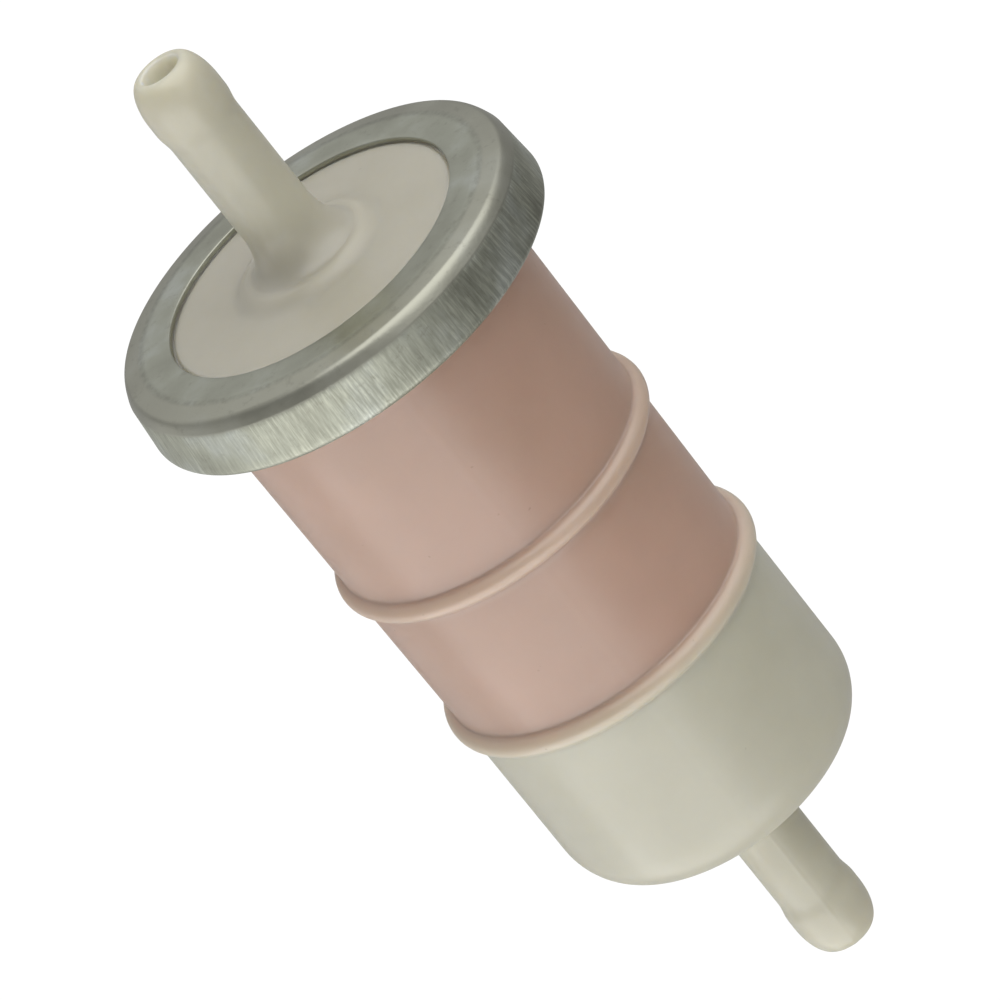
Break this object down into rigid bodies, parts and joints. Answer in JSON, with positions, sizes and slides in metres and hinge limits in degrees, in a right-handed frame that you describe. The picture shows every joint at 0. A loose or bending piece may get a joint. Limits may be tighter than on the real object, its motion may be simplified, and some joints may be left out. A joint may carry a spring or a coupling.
{
  "type": "inline fuel filter",
  "caption": "Translucent in-line fuel filter: a beaded cup and a domed cover joined by a crimped metal ring, a pleated element inside and a hose nozzle at each end.",
  "frame": {"origin": "on the filter's axis, at the underside of the lower bead, where a holder slipped up over the bowl comes to a stop", "axes": "+Z along the filter's axis, from the bowl towards the cover; the part is a body of revolution apart from the pleats, the seam clip and the core's holes"},
  "size_m": [0.04, 0.04, 0.1063],
  "materials": {
    "nylon_cup": "translucent milky nylon, satin, with the pink element showing through",
    "nylon_cover": "translucent milky nylon, satin",
    "plated_steel": "dull plating, blotchy on top, finely scratched along the axis on the skirt",
    "rubber": "matt",
    "white_plastic": "plain moulded",
    "adhesive": "amber, slightly glossy",
    "filter_paper": "resin-treated pink paper",
    "tinplate": "bright folded strip"
  },
  "bodies": {
    "root": {"housing_cup": "nylon_cup", "cover": "nylon_cover", "crimp_ring": "plated_steel", "flange_o_ring": "rubber", "element_top_plate": "white_plastic", "element_top_bond": "adhesive", "element_paper": "filter_paper", "element_seam_clip": "tinplate", "element_core": "white_plastic", "element_bottom_bond": "adhesive", "element_bottom_cap": "white_plastic"}
  },
  "joints": []
}
